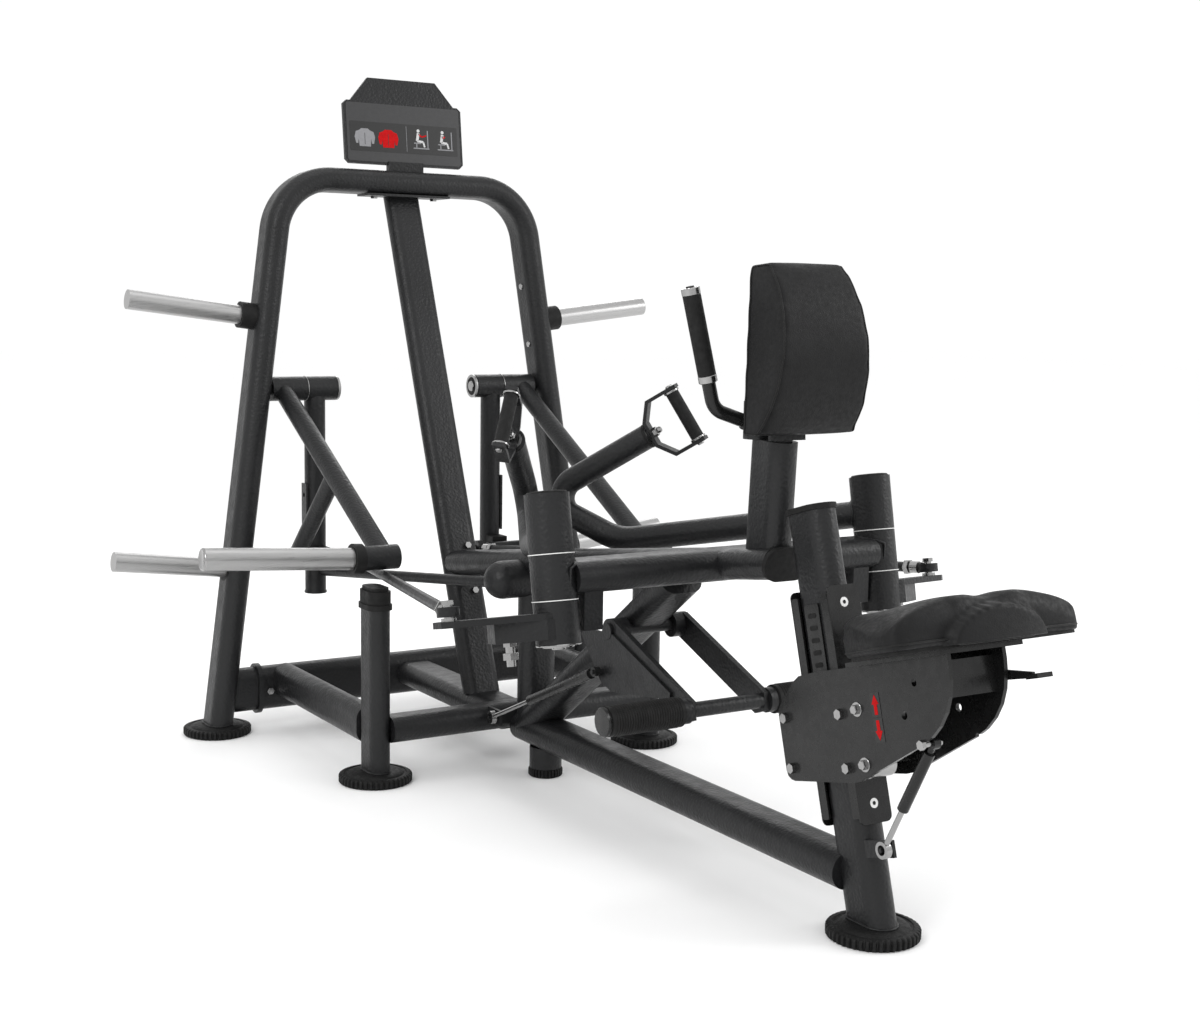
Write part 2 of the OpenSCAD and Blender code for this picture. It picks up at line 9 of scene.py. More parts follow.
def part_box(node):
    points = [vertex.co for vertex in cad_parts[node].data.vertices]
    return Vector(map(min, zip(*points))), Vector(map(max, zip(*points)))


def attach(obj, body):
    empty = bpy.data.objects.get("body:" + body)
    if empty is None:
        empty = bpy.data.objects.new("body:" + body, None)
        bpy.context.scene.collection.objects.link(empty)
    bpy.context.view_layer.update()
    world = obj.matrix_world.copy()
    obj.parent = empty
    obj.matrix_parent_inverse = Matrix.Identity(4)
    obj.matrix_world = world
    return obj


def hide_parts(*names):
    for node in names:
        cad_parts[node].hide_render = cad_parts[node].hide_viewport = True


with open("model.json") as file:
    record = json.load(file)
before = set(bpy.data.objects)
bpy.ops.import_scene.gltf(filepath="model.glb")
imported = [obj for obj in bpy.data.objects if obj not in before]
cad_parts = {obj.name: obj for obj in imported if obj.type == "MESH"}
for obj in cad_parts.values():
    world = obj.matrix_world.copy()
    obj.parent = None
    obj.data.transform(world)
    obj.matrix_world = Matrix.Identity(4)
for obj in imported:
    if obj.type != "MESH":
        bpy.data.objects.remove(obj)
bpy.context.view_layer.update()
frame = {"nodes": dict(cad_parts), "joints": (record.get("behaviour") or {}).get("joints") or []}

JOINTS = {j["name"]: j for j in frame["joints"]}
scene = bpy.context.scene
D = bpy.data
SIDES = (("left", -1), ("right", 1))
X = Vector((1, 0, 0))


def jpos(name):
    return Vector(JOINTS[name]["pos_m"])


def jaxis(name):
    return Vector(JOINTS[name]["axis"]).normalized()


def upward(name):
    """A joint's axis, turned to point up."""
    a = jaxis(name)
    return -a if a.z < 0 else a


def box(node):
    lo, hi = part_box(node)
    return Vector(lo), Vector(hi)


def mid(node):
    lo, hi = box(node)
    return (lo + hi) / 2


def axes(x, y, z):
    """A matrix with these three columns."""
    return Matrix((x, y, z)).transposed().to_4x4()


# ---------------------------------------------------------------- materials
class Mat:
    """A small builder for node materials in object coordinates (metres)."""

    def __init__(self, name, color, rough, metal=0.0, **sockets):
        self.m = D.materials.new(name)
        self.m.use_nodes = True
        self.t = self.m.node_tree
        self.b = self.t.nodes["Principled BSDF"]
        self.b.inputs["Base Color"].default_value = (*color, 1)
        self.b.inputs["Roughness"].default_value = rough
        self.b.inputs["Metallic"].default_value = metal
        for k, v in sockets.items():
            self.b.inputs[k.replace("_", " ")].default_value = v
        self.co = self.t.nodes.new("ShaderNodeTexCoord").outputs["Object"]
        self.m.diffuse_color = (*color, 1)
        self.last = None

    def node(self, kind, **props):
        n = self.t.nodes.new(kind)
        for k, v in props.items():
            setattr(n, k, v)
        return n

    def link(self, a, b):
        self.t.links.new(a, b)

    def mapped(self, scale):
        n = self.node("ShaderNodeMapping")
        n.inputs["Scale"].default_value = scale
        self.link(self.co, n.inputs["Vector"])
        return n.outputs["Vector"]

    def noise(self, scale, detail=3.0, rough=0.5, vec=None):
        n = self.node("ShaderNodeTexNoise")
        n.inputs["Scale"].default_value = scale
        n.inputs["Detail"].default_value = detail
        n.inputs["Roughness"].default_value = rough
        self.link(vec or self.co, n.inputs["Vector"])
        return n.outputs["Fac"]

    def voronoi(self, scale, feature="F1"):
        n = self.node("ShaderNodeTexVoronoi", feature=feature)
        n.inputs["Scale"].default_value = scale
        self.link(self.co, n.inputs["Vector"])
        return n.outputs["Distance"]

    def ramp(self, fac, stops):
        n = self.node("ShaderNodeValToRGB")
        el = n.color_ramp.elements
        while len(el) < len(stops):
            el.new(0.5)
        for e, (p, c) in zip(el, stops):
            e.position = p
            e.color = (*c, 1)
        self.link(fac, n.inputs["Fac"])
        return n.outputs["Color"]

    def colour(self, fac, stops):
        self.link(self.ramp(fac, stops), self.b.inputs["Base Color"])

    def rough(self, fac, lo, hi):
        n = self.node("ShaderNodeMapRange")
        n.inputs["From Min"].default_value = 0.3
        n.inputs["From Max"].default_value = 0.7
        n.inputs["To Min"].default_value = lo
        n.inputs["To Max"].default_value = hi
        self.link(fac, n.inputs["Value"])
        self.link(n.outputs["Result"], self.b.inputs["Roughness"])

    def bump(self, fac, dist, strength=1.0):
        n = self.node("ShaderNodeBump")
        n.inputs["Distance"].default_value = dist
        n.inputs["Strength"].default_value = strength
        self.link(fac, n.inputs["Height"])
        if self.last:
            self.link(self.last, n.inputs["Normal"])
        self.last = n.outputs["Normal"]
        self.link(self.last, self.b.inputs["Normal"])


def grey(v, warm=0.0):
    return (v * (1 + warm), v, v * (1 - warm))


def paint():
    m = Mat("hammered_charcoal", grey(0.011), 0.4, 0.0, Specular_IOR_Level=0.3)
    big = m.noise(5, 3)
    m.colour(big, [(0.3, (0.0075, 0.0077, 0.0082)), (0.7, (0.0125, 0.0128, 0.0135))])
    m.rough(m.noise(38, 4), 0.33, 0.47)
    m.bump(m.voronoi(170, feature="SMOOTH_F1"), 0.0011, 0.75)
    m.bump(m.noise(560, 3), 0.00028, 0.7)
    return m.m


def gloss_black():
    m = Mat("gloss_black", grey(0.008), 0.28, Specular_IOR_Level=0.32)
    m.colour(m.noise(12, 3), [(0.3, grey(0.006)), (0.7, grey(0.011))])
    m.rough(m.noise(60, 4), 0.2, 0.36)
    m.bump(m.noise(480, 3), 0.00012, 0.5)
    return m.m


def rubber(name, v=0.007, rough=(0.55, 0.75), grain=900):
    m = Mat(name, grey(v), 0.65, Specular_IOR_Level=0.22)
    m.colour(m.noise(40, 4), [(0.3, grey(v * 0.75)), (0.7, grey(v * 1.35, 0.02))])
    m.rough(m.noise(90, 3), *rough)
    m.bump(m.noise(grain, 3), 0.00018, 0.6)
    return m.m


def knurled(name, scale=420):
    m = Mat(name, grey(0.007), 0.6, Specular_IOR_Level=0.22)
    m.colour(m.noise(70, 3), [(0.3, grey(0.005)), (0.7, grey(0.010))])
    m.rough(m.noise(120, 3), 0.5, 0.7)
    m.bump(m.voronoi(scale), 0.0007, 0.8)
    return m.m


def vinyl():
    m = Mat("black_vinyl", grey(0.008), 0.5, Specular_IOR_Level=0.2)
    m.colour(m.noise(24, 5, 0.6), [(0.3, (0.0040, 0.0040, 0.0042)), (0.75, (0.0075, 0.0075, 0.0079))])
    m.rough(m.noise(130, 4), 0.42, 0.62)
    m.bump(m.noise(26, 4, 0.6), 0.0012, 0.3)
    m.bump(m.voronoi(520, feature="SMOOTH_F1"), 0.0005, 0.55)
    m.bump(m.noise(1400, 2), 0.00012, 0.5)
    return m.m


def brushed(name, v, rough, vec_scale, metal=1.0, dist=0.00006):
    m = Mat(name, grey(v, 0.005), rough, metal)
    s = m.noise(900, 4, 0.6, m.mapped(vec_scale))
    m.colour(s, [(0.3, grey(v * 0.9, 0.005)), (0.7, grey(min(0.95, v * 1.06), 0.005))])
    m.rough(s, rough * 0.75, rough * 1.35)
    m.bump(s, dist, 0.5)
    m.bump(m.noise(16, 3), 0.0002, 0.25)
    return m.m


def plain(name, color, rough=0.5, metal=0.0, var=0.12, **sockets):
    m = Mat(name, color, rough, metal, **sockets)
    m.colour(m.noise(90, 4), [(0.3, tuple(c * (1 - var) for c in color)),
                              (0.7, tuple(min(1, c * (1 + var)) for c in color))])
    m.rough(m.noise(150, 3), rough * 0.85, min(1, rough * 1.15))
    m.bump(m.noise(700, 2), 0.00008, 0.5)
    return m.m


PAINT = paint()
GLOSS = gloss_black()
RUBBER = rubber("matt_rubber")
COLLAR = rubber("collar_rubber", 0.006, (0.5, 0.65), 1400)
GRIP = knurled("grip_rubber", 520)
KNURL = knurled("foot_rubber", 260)
ROLLER = rubber("roller_rubber", 0.008, (0.5, 0.68), 1100)
VINYL = vinyl()
CHROME = brushed("satin_chrome", 0.40, 0.34, (0.01, 1, 1), dist=0.00003)
BRIGHT = brushed("bright_steel", 0.34, 0.2, (1, 1, 0.3), dist=0.00003)
ZINC = brushed("zinc", 0.34, 0.3, (1, 1, 1))
WHITE = plain("white_ring", (0.78, 0.78, 0.77), 0.4, var=0.04)
PIPING = rubber("piping", 0.005, (0.42, 0.55), 800)
RED = plain("label_red", (0.42, 0.002, 0.003), 0.7, Specular_IOR_Level=0.15)
PANEL = plain("panel_face", (0.022, 0.022, 0.023), 0.4, var=0.1)
PANEL_DARK = plain("panel_band", (0.004, 0.004, 0.004), 0.4)
LIGHT_GREY = plain("panel_grey", (0.20, 0.20, 0.21), 0.45, var=0.05)
PALE = plain("panel_pale", (0.50, 0.50, 0.50), 0.45, var=0.04)

# carried-over CAD nodes
LOOK = {}
for n in frame["nodes"]:
    LOOK[n] = PAINT
for names, m in (
    (("rubber_stops",), RUBBER),
    (("chest_handles", "frame_bolts", "left_rod_ends", "right_rod_ends", "carriage_rollers",
      "seat_gas_rod", "foot_gas_rod"), BRIGHT),
    (("storage_pegs", "left_plate_horn", "right_plate_horn"), CHROME),
    (("peg_collars", "left_horn_collar", "right_horn_collar"), COLLAR),
    (("wear_plates", "carriage_plates", "seat_paddle", "seat_gas_cylinder",
      "foot_gas_cylinder"), GLOSS),
    (("chest_grips", "left_handle_grip", "right_handle_grip"), GRIP),
):
    for n in names:
        LOOK[n] = m
for n, o in frame["nodes"].items():
    if not o.material_slots:
        o.data.materials.append(LOOK[n])
    for s in o.material_slots:
        s.material = LOOK[n]


# ---------------------------------------------------------------- mesh helpers
def new_object(name, bm, mats, smooth=True, angle=35):
    me = D.meshes.new(name)
    bmesh.ops.recalc_face_normals(bm, faces=bm.faces)
    bm.to_mesh(me)
    bm.free()
    o = D.objects.new(name, me)
    scene.collection.objects.link(o)
    for m in mats if isinstance(mats, (list, tuple)) else [mats]:
        me.materials.append(m)
    if smooth:
        me.polygons.foreach_set("use_smooth", [True] * len(me.polygons))
        me.set_sharp_from_angle(angle=math.radians(angle))
    return o


def basis(z):
    """A rotation matrix whose third column is z."""
    z = Vector(z).normalized()
    x = X if abs(z.x) < 0.9 else Vector((0, 1, 0))
    x = (x - x.dot(z) * z).normalized()
    return axes(x, z.cross(x), z)


def lathe(bm, at, axis, profile, n=64, mat=0, teeth=0, depth=0.0, ring=False):
    """Turn a profile of (radius, height[, tooth weight]) about an axis through at.

    With ring, the last point joins the first, and the shape is open in the middle.
    """
    M = Matrix.Translation(Vector(at)) @ basis(axis)
    rings = []
    for p in profile:
        r, h = p[0], p[1]
        k = p[2] if len(p) > 2 else 0
        if r < 1e-6:
            rings.append([bm.verts.new(M @ Vector((0, 0, h)))])
            continue
        row = []
        for i in range(n):
            a = 2 * math.pi * i / n
            rr = r
            if k and teeth:
                ph = (i * teeth / n) % 1
                rr -= k * depth * (1 if ph >= 0.6 else 0)
            row.append(bm.verts.new(M @ Vector((rr * math.cos(a), rr * math.sin(a), h))))
        rings.append(row)
    out = []
    for a, b in zip(rings, rings[1:] + ([rings[0]] if ring else [])):
        for i in range(n):
            j = (i + 1) % n
            if len(a) == 1 and len(b) == 1:
                continue
            if len(a) == 1:
                out.append(bm.faces.new((a[0], b[j], b[i])))
            elif len(b) == 1:
                out.append(bm.faces.new((a[i], a[j], b[0])))
            else:
                out.append(bm.faces.new((a[i], a[j], b[j], b[i])))
    for f in out:
        f.material_index = mat
    return out


def tube(bm, pts, r, n=12, mat=0, closed=False):
    """A round tube along points, capped unless closed."""
    pts = [Vector(p) for p in pts]
    m = len(pts)
    up = None
    rings = []
    for i, p in enumerate(pts):
        if closed:
            t = (pts[(i + 1) % m] - pts[i - 1]).normalized()
        else:
            t = (pts[min(i + 1, m - 1)] - pts[max(i - 1, 0)]).normalized()
        if up is None:
            up = t.orthogonal().normalized()
        up = (up - up.dot(t) * t).normalized()
        s = t.cross(up)
        rr = r[i] if isinstance(r, (list, tuple)) else r
        rings.append([bm.verts.new(p + rr * (math.cos(2 * math.pi * k / n) * up
                      + math.sin(2 * math.pi * k / n) * s)) for k in range(n)])
    for a, b in list(zip(rings, rings[1:])) + ([(rings[-1], rings[0])] if closed else []):
        best = 0
        if closed and a is rings[-1]:
            best = min(range(n), key=lambda q: (a[0].co - b[q].co).length)
        for i in range(n):
            j = (i + 1) % n
            f = bm.faces.new((a[i], a[j], b[(j + best) % n], b[(i + best) % n]))
            f.material_index = mat
    if not closed:
        for ring in (rings[0], rings[-1]):
            bm.faces.new(ring).material_index = mat


def prism(bm, M, outline, depth, mat=0):
    """A plate: outline in local x, y, from z = 0 to depth."""
    lo = [bm.verts.new(M @ Vector((x, y, 0))) for x, y in outline]
    hi = [bm.verts.new(M @ Vector((x, y, depth))) for x, y in outline]
    n = len(outline)
    fs = [bm.faces.new(lo[::-1]), bm.faces.new(hi)]
    fs += [bm.faces.new((lo[i], lo[(i + 1) % n], hi[(i + 1) % n], hi[i])) for i in range(n)]
    for f in fs:
        f.material_index = mat


def round_rect(w, h, r, n=6, cx=0, cy=0):
    out = []
    for sx, sy, a0 in ((1, 1, 0), (-1, 1, 90), (-1, -1, 180), (1, -1, 270)):
        for i in range(n + 1):
            a = math.radians(a0 + 90 * i / n)
            out.append((cx + sx * (w / 2 - r) + r * math.cos(a),
                        cy + sy * (h / 2 - r) + r * math.sin(a)))
    return out


def disc(r, n, cx, cy):
    return [(cx + r * math.cos(2 * math.pi * i / n), cy + r * math.sin(2 * math.pi * i / n))
            for i in range(n)]


def ring_profile(r0, r1, h0, h1, c=0.001):
    """A chamfered ring's section, for lathe with ring=True."""
    return [(r0, h0 + c), (r0 + c, h0), (r1 - c, h0), (r1, h0 + c), (r1, h1 - c), (r1 - c, h1),
            (r0 + c, h1), (r0, h1 - c)]


def hexagon(bm, M, rows, mat=0):
    """A six-sided shape through rows of (radius, height)."""
    corners = [(math.cos(math.pi / 3 * i), math.sin(math.pi / 3 * i)) for i in range(6)]
    rings = [[bm.verts.new(M @ Vector((r * c, r * s, z))) for c, s in corners] for r, z in rows]
    fs = [bm.faces.new(rings[0][::-1]), bm.faces.new(rings[-1])]
    for a, b in zip(rings, rings[1:]):
        fs += [bm.faces.new((a[i], a[(i + 1) % 6], b[(i + 1) % 6], b[i])) for i in range(6)]
    for f in fs:
        f.material_index = mat


def bolt(bm, at, axis, d=0.017, h=0.008, washer=1.5):
    """A hex head with a chamfer, on a flat washer that is washer times as wide."""
    M = Matrix.Translation(Vector(at)) @ basis(axis)
    z0 = 0.0
    if washer:
        z0 = 0.0018
        wr = d * washer / 2
        lathe(bm, at, axis, [(0, 0.0), (wr, 0), (wr, 0.0012), (wr - 0.0006, z0), (0, z0)], 28)
    hexagon(bm, M, [(d / 2, z0), (d / 2, z0 + h * 0.82), (d / 2 * 0.86, z0 + h)])


def done(name, bm, mats, body, slot, **kw):
    o = new_object(name, bm, mats, **kw)
    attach(o, body)
    return o


# ---------------------------------------------------------------- local frames
UP = jaxis("seat_height")
BACK = Vector((0, -UP.z, UP.y))
# the seat post's foot, from where the release paddle's pivot is on the post
POST = jpos("seat_release_lever") - 0.060 * X - 0.275 * BACK - 0.431 * UP


def on_post(x, r, s):
    return POST + Vector((x, 0, 0)) + r * BACK + s * UP


POST_M = Matrix.Translation(POST) @ axes(X, BACK, UP)


def on_post_side(x):
    """The plane at x on the post's left: across it rearward, then up, facing outward."""
    return Matrix.Translation(on_post(x, 0, 0)) @ axes(BACK, UP, -X)


# ---------------------------------------------------------------- feet
flo, fhi = box("feet")
plo, phi = box("bumper_posts")
FOOT_R = 0.0838
POST_HALF = 0.025       # half a bumper post's width in X


def foot(bm, x, y, r=FOOT_R, h=0.026, teeth=44):
    """A round foot with a notched rim and a domed top."""
    lathe(bm, (x, y, 0), (0, 0, 1), [
        (0, 0), (r - 0.006, 0), (r - 0.002, 0.0015, 1), (r, 0.004, 1), (r, 0.0165, 1),
        (r - 0.0015, 0.019, 1), (r - 0.007, 0.021), (r - 0.012, 0.0214), (r - 0.014, 0.0195),
        (r - 0.019, 0.0195), (r - 0.022, 0.0222), (r * 0.6, h - 0.0008), (0, h - 0.0006)],
        teeth * 5, 0, teeth, 0.0042)


post_x = phi.x - POST_HALF
post_y = (plo.y + phi.y) / 2
leg_x = fhi.x - FOOT_R
leg_y = fhi.y - FOOT_R
bm = bmesh.new()
for s in (-1, 1):
    foot(bm, s * leg_x, leg_y)
    foot(bm, s * post_x, post_y)
foot(bm, 0, flo.y + FOOT_R)
mast_y = mid("centre_mast").y - 0.050
foot(bm, 0, mast_y, 0.040, 0.021, 30)
feet = done("feet_rubber", bm, KNURL, "frame", "black_rubber", angle=30)
bm = bmesh.new()
lathe(bm, (0, mast_y, 0), (0, 0, 1), [(0, 0.0205), (0.0375, 0.0205), (0.0375, 0.070), (0, 0.070)], 64)
done("centre_foot_tube", bm, PAINT, "frame", "frame_paint")
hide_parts("feet")

# ---------------------------------------------------------------- row pivots
# the white washers fill the gaps between the sleeves, at these heights up the pivot
GAPS = ((0.0782, 0.0798), (0.1633, 0.1650))
for side, _ in SIDES:
    p, a = jpos(side + "_row"), upward(side + "_row")
    bm = bmesh.new()
    for t0, t1 in GAPS:
        lathe(bm, p, a, ring_profile(0.0215, 0.0435, t0, t1, 0.0003), 72, ring=True)
    done(side + "_pivot_washers", bm, WHITE, "frame", "bright_steel")
    bm = bmesh.new()
    # cap plug and retaining ring at the foot of the pivot
    lathe(bm, p, a, [(0, -0.0105), (0.012, -0.0105), (0.014, -0.0085), (0.014, -0.0065),
                     (0.029, -0.0065), (0.031, -0.0045), (0.031, -0.0008), (0, -0.0008)], 56)
    lathe(bm, p, a, ring_profile(0.0385, 0.0428, -0.0035, -0.0004, 0.0008), 72, ring=True)
    done(side + "_pivot_foot_ring", bm, BRIGHT, side + "_arm", "bright_steel")
    bm = bmesh.new()
    lathe(bm, p, a, [(0, 0.2753), (0.0385, 0.2753), (0.0385, 0.2762), (0.036, 0.2788),
                     (0.030, 0.2796), (0.0285, 0.2782), (0, 0.2782)], 72)
    done(side + "_pivot_cap", bm, RUBBER, side + "_arm", "black_rubber")

# ---------------------------------------------------------------- lever shaft end rings
SHAFT_END = 0.198
SEAM_AT = 0.2838
_, ly, lz = mid("lever_shafts")
for side, s in SIDES:
    bm = bmesh.new()
    at = Vector((s * SHAFT_END, ly, lz))
    ax = -s * X
    lathe(bm, at, ax, ring_profile(0.0245, 0.0312, -0.0040, 0.0022, 0.0008), 64, ring=True)
    lathe(bm, at, ax, [(0, 0.0002), (0.0243, 0.0002), (0.0243, 0.0010), (0.017, 0.0010),
                       (0.0155, 0.0016), (0, 0.0016)], 64, 1)
    lathe(bm, at, ax, [(0, 0.0018), (0.0135, 0.0018), (0.0140, 0.0028), (0.0125, 0.0052),
                       (0.004, 0.0058), (0, 0.0058)], 48, 2)
    done(side + "_lever_shaft_cap", bm, [ZINC, RUBBER, BRIGHT], "frame", "bright_steel")
    bm = bmesh.new()
    lathe(bm, Vector((s * SEAM_AT, ly, lz)), ax,
          ring_profile(0.0312, 0.0322, -0.0010, 0.0010, 0.0003), 64, ring=True)
    done(side + "_lever_seam", bm, ZINC, "frame", "bright_steel")

# ---------------------------------------------------------------- horn end caps
HORN_R = 0.025
HORN_ROOT_X = 0.400
for side, s in SIDES:
    lo, hi = box(side + "_plate_horn")
    root = Vector((s * HORN_ROOT_X, (lo.y + hi.y) / 2, lo.z + HORN_R))
    tip = Vector((s * max(abs(lo.x), abs(hi.x)), (lo.y + hi.y) / 2, hi.z - HORN_R))
    d = (tip - root).normalized()
    bm = bmesh.new()
    lathe(bm, tip, d, [(0, -0.004), (0.0249, -0.004), (0.0249, -0.0008), (0.0235, 0.0012),
                       (0.021, 0.0020), (0.0195, 0.0012), (0, 0.0006)], 64)
    done(side + "_horn_end", bm, BRIGHT, side + "_lever_arm", "satin_chrome")

# ---------------------------------------------------------------- foot rollers
rlo, rhi = box("foot_rollers")
ry, rz = (rlo.y + rhi.y) / 2, (rlo.z + rhi.z) / 2
rr = (rhi.z - rlo.z) / 2
SLEEVE_L = 0.168
N_RIBS = 26
BORE_R = 0.0122
x0 = rhi.x - 0.176
for side, s in SIDES:
    bm = bmesh.new()
    prof = [(BORE_R, 0.0), (rr - 0.004, 0.0), (rr - 0.001, 0.0015), (rr - 0.001, 0.010)]
    for i in range(N_RIBS):
        h = 0.011 + (SLEEVE_L - 0.022) * i / N_RIBS
        w = (SLEEVE_L - 0.022) / N_RIBS
        prof += [(rr - 0.0022, h), (rr - 0.0002, h + w * 0.3), (rr - 0.0002, h + w * 0.65),
                 (rr - 0.0022, h + w * 0.95)]
    prof += [(rr - 0.001, SLEEVE_L - 0.010), (rr - 0.001, SLEEVE_L - 0.0015), (rr - 0.004, SLEEVE_L),
             (BORE_R, SLEEVE_L)]
    lathe(bm, Vector((s * x0, ry, rz)), s * X, prof, 72, ring=True)
    done(side + "_roller_sleeve", bm, ROLLER, "footrest", "roller_rubber", angle=28)
    bm = bmesh.new()
    lathe(bm, Vector((s * (x0 + SLEEVE_L), ry, rz)), s * X, [
        (0, 0.0002), (0.0275, 0.0002), (0.0285, 0.0015), (0.0285, 0.0045), (0.026, 0.0072),
        (0.015, 0.0078), (0, 0.0078)], 64)
    done(side + "_roller_cap", bm, GLOSS, "footrest", "gloss_black")
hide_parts("foot_rollers")


def taken(o, me):
    """Give the object this mesh in place of its own."""
    o.modifiers.clear()
    old = o.data
    o.data = me
    D.meshes.remove(old)


def evaluated(o):
    return o.evaluated_get(bpy.context.evaluated_depsgraph_get())


def loop_points(pts, step=0.006):
    """A closed outline with points no more than about step apart."""
    out = []
    for i, a in enumerate(pts):
        b = pts[(i + 1) % len(pts)]
        k = max(1, int((b - a).length / step))
        out += [a.lerp(b, q / k) for q in range(k)]
    return out


def remeshed(bm, name, voxel, smooth):
    """A closed shape as one even quad mesh, with its edges softened."""
    o = new_object(name, bm, VINYL, smooth=False)
    md = o.modifiers.new("re", "REMESH")
    md.mode = "VOXEL"
    md.voxel_size = voxel
    sm = o.modifiers.new("sm", "SMOOTH")
    sm.iterations = smooth
    sm.factor = 0.5
    taken(o, D.meshes.new_from_object(evaluated(o)))
    return o


def inflate(o, pin, pressure, cap):
    """Cloth under pressure, with each point's travel capped, then applied."""
    me = o.data
    base = [v.co.copy() for v in me.vertices]
    g = o.vertex_groups.new(name="pin")
    for v in me.vertices:
        w = pin(v.co)
        if w > 0:
            g.add([v.index], w, "REPLACE")
    c = o.modifiers.new("cloth", "CLOTH")
    st = c.settings
    st.quality = 5
    st.mass = 0.35
    st.tension_stiffness = 18
    st.compression_stiffness = 12
    st.shear_stiffness = 6
    st.bending_stiffness = 1.2
    st.vertex_group_mass = "pin"
    st.use_pressure = True
    st.uniform_pressure_force = pressure
    st.effector_weights.gravity = 0
    c.collision_settings.use_collision = False
    scene.frame_start, scene.frame_end = 1, 20
    for f in range(1, 21):
        scene.frame_set(f)
    pts = [v.co.copy() for v in evaluated(o).data.vertices]
    scene.frame_set(1)
    o.modifiers.clear()
    o.vertex_groups.clear()
    for v, b, p in zip(me.vertices, base, pts):
        d = p - b
        if d.length > cap:
            d *= cap / d.length
        v.co = b + d
    me.update()


def calm(o, n):
    """Even out what the cloth left behind."""
    sm = o.modifiers.new("calm", "SMOOTH")
    sm.iterations = n
    sm.factor = 0.5
    pts = [v.co.copy() for v in evaluated(o).data.vertices]
    o.modifiers.clear()
    for v, p in zip(o.data.vertices, pts):
        v.co = p
    o.data.update()


def on_surface(o, pts, lift):
    """The points of a cushion's surface nearest to pts, a little proud of it."""
    tree = BVHTree.FromPolygons([v.co for v in o.data.vertices],
                                [p.vertices for p in o.data.polygons])
    out = []
    for p in pts:
        q, n, _, _ = tree.find_nearest(p)
        out.append(q + n * lift)
    for _ in range(2):
        out = [(out[i - 1] + 2 * out[i] + out[(i + 1) % len(out)]) / 4 for i in range(len(out))]
    return out


def subdivide(o):
    md = o.modifiers.new("sub", "SUBSURF")
    md.levels = md.render_levels = 1
    me = D.meshes.new_from_object(evaluated(o))
    taken(o, me)
    me.polygons.foreach_set("use_smooth", [True] * len(me.polygons))
    me.materials.clear()
    me.materials.append(VINYL)


# ---- chest pad, made in its own upright frame: x across, y forward, z up
clo, chi = box("chest_pad")
PAD_H, LEAN = 0.315, math.radians(5)
PIPING_R = 0.0019
pad_at = Vector((0, chi.y - PAD_H * math.sin(LEAN), clo.z))
CHEST_M = Matrix.Translation(pad_at) @ Matrix.Rotation(-LEAN, 4, "X")


FACE_R = 0.221          # the face is an arc of this radius, centred
FACE_Z = 0.1634         # this far up the pad
FACE_BACK = 0.0989      # and this far behind its back
HALF_FOOT = 0.116       # half the pad's width at its foot
TAPER = 0.028           # and how much less it is at its top


def pad_depth(z):
    """How far the pad's face stands forward of its back at height z."""
    return math.sqrt(FACE_R ** 2 - (z - FACE_Z) ** 2) - FACE_BACK


def pad_half(z):
    return HALF_FOOT - TAPER * z / PAD_H


def pad_height(f, d):
    """Heights from d above the pad's foot to d below its top, closer together at both ends."""
    return d + (PAD_H - 2 * d) * (0.5 - 0.5 * math.cos(math.pi * f))


INSET = 0.005           # the cover starts this much small, and pressure fills it out
VOXEL = 0.005
out = []
for i in range(37):
    z = pad_height(i / 36, INSET)
    out.append((-(pad_depth(z) - INSET), z))
for z in (PAD_H - INSET, PAD_H * 0.5, INSET):
    out.append((-INSET, z))
bm = bmesh.new()
lo_ring = [bm.verts.new((-(pad_half(z) - INSET), y, z)) for y, z in out]
hi_ring = [bm.verts.new((pad_half(z) - INSET, y, z)) for y, z in out]
bm.faces.new(lo_ring)
bm.faces.new(hi_ring[::-1])
for i in range(len(out)):
    j = (i + 1) % len(out)
    bm.faces.new((lo_ring[i], hi_ring[i], hi_ring[j], lo_ring[j]))
chest = remeshed(bm, "chest_cushion", VOXEL, 4)


def chest_pin(c):
    """The board behind holds the cover, and its sides are held a little."""
    if c.y > -0.012:
        return 1.0
    return 0.6 if abs(c.x) > (pad_half(c.z) - INSET) * 0.93 else 0.0


inflate(chest, chest_pin, 3.0, 0.0055)
calm(chest, 5)
# small puckers along the side seams, and an uneven face
for v in chest.data.vertices:
    c = v.co
    near = math.exp(-((pad_half(c.z) - abs(c.x)) / 0.016) ** 2)
    c.y += 0.0004 * near * math.sin(c.z * 150 + 3 * math.sin(c.z * 31))
    if c.y < -0.03:
        c.y += 0.0009 * math.sin(c.z * 17 + 1.0) * math.sin(c.x * 19 + 0.6)
subdivide(chest)
# piping along both edges of the face, round each side panel
bm = bmesh.new()
for s in (-1, 1):
    path = []
    for i in range(71):
        z = pad_height(i / 70, 0.004)
        path.append(Vector((s * pad_half(z), -pad_depth(z), z)))
    for z in (PAD_H - 0.003, PAD_H * 0.75, PAD_H * 0.5, PAD_H * 0.25, 0.003):
        path.append(Vector((s * pad_half(z), -0.010, z)))
    seam = on_surface(chest, loop_points(path), 0.0004)
    tube(bm, [CHEST_M @ p for p in seam], PIPING_R, 10, closed=True)
done("chest_piping", bm, PIPING, "frame", "vinyl", angle=60)
chest.data.transform(CHEST_M)
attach(chest, "frame")
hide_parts("chest_pad")

# ---- seat pad, made in the post's frame: x across, y rearward, z up the post
SEAT_T = 0.082          # the pad's thickness
SEAT_S = 0.478          # its base's height on the post
SEAT_HALF = 0.216       # half its greatest width
BASE_Z = 0.004          # the cover before it is filled: its foot and its height
COVER_H = 0.056
PANEL_HALF = 0.106      # the half-round panel in the middle of its back
PANEL_H = 0.063
PANEL_R = 0.421
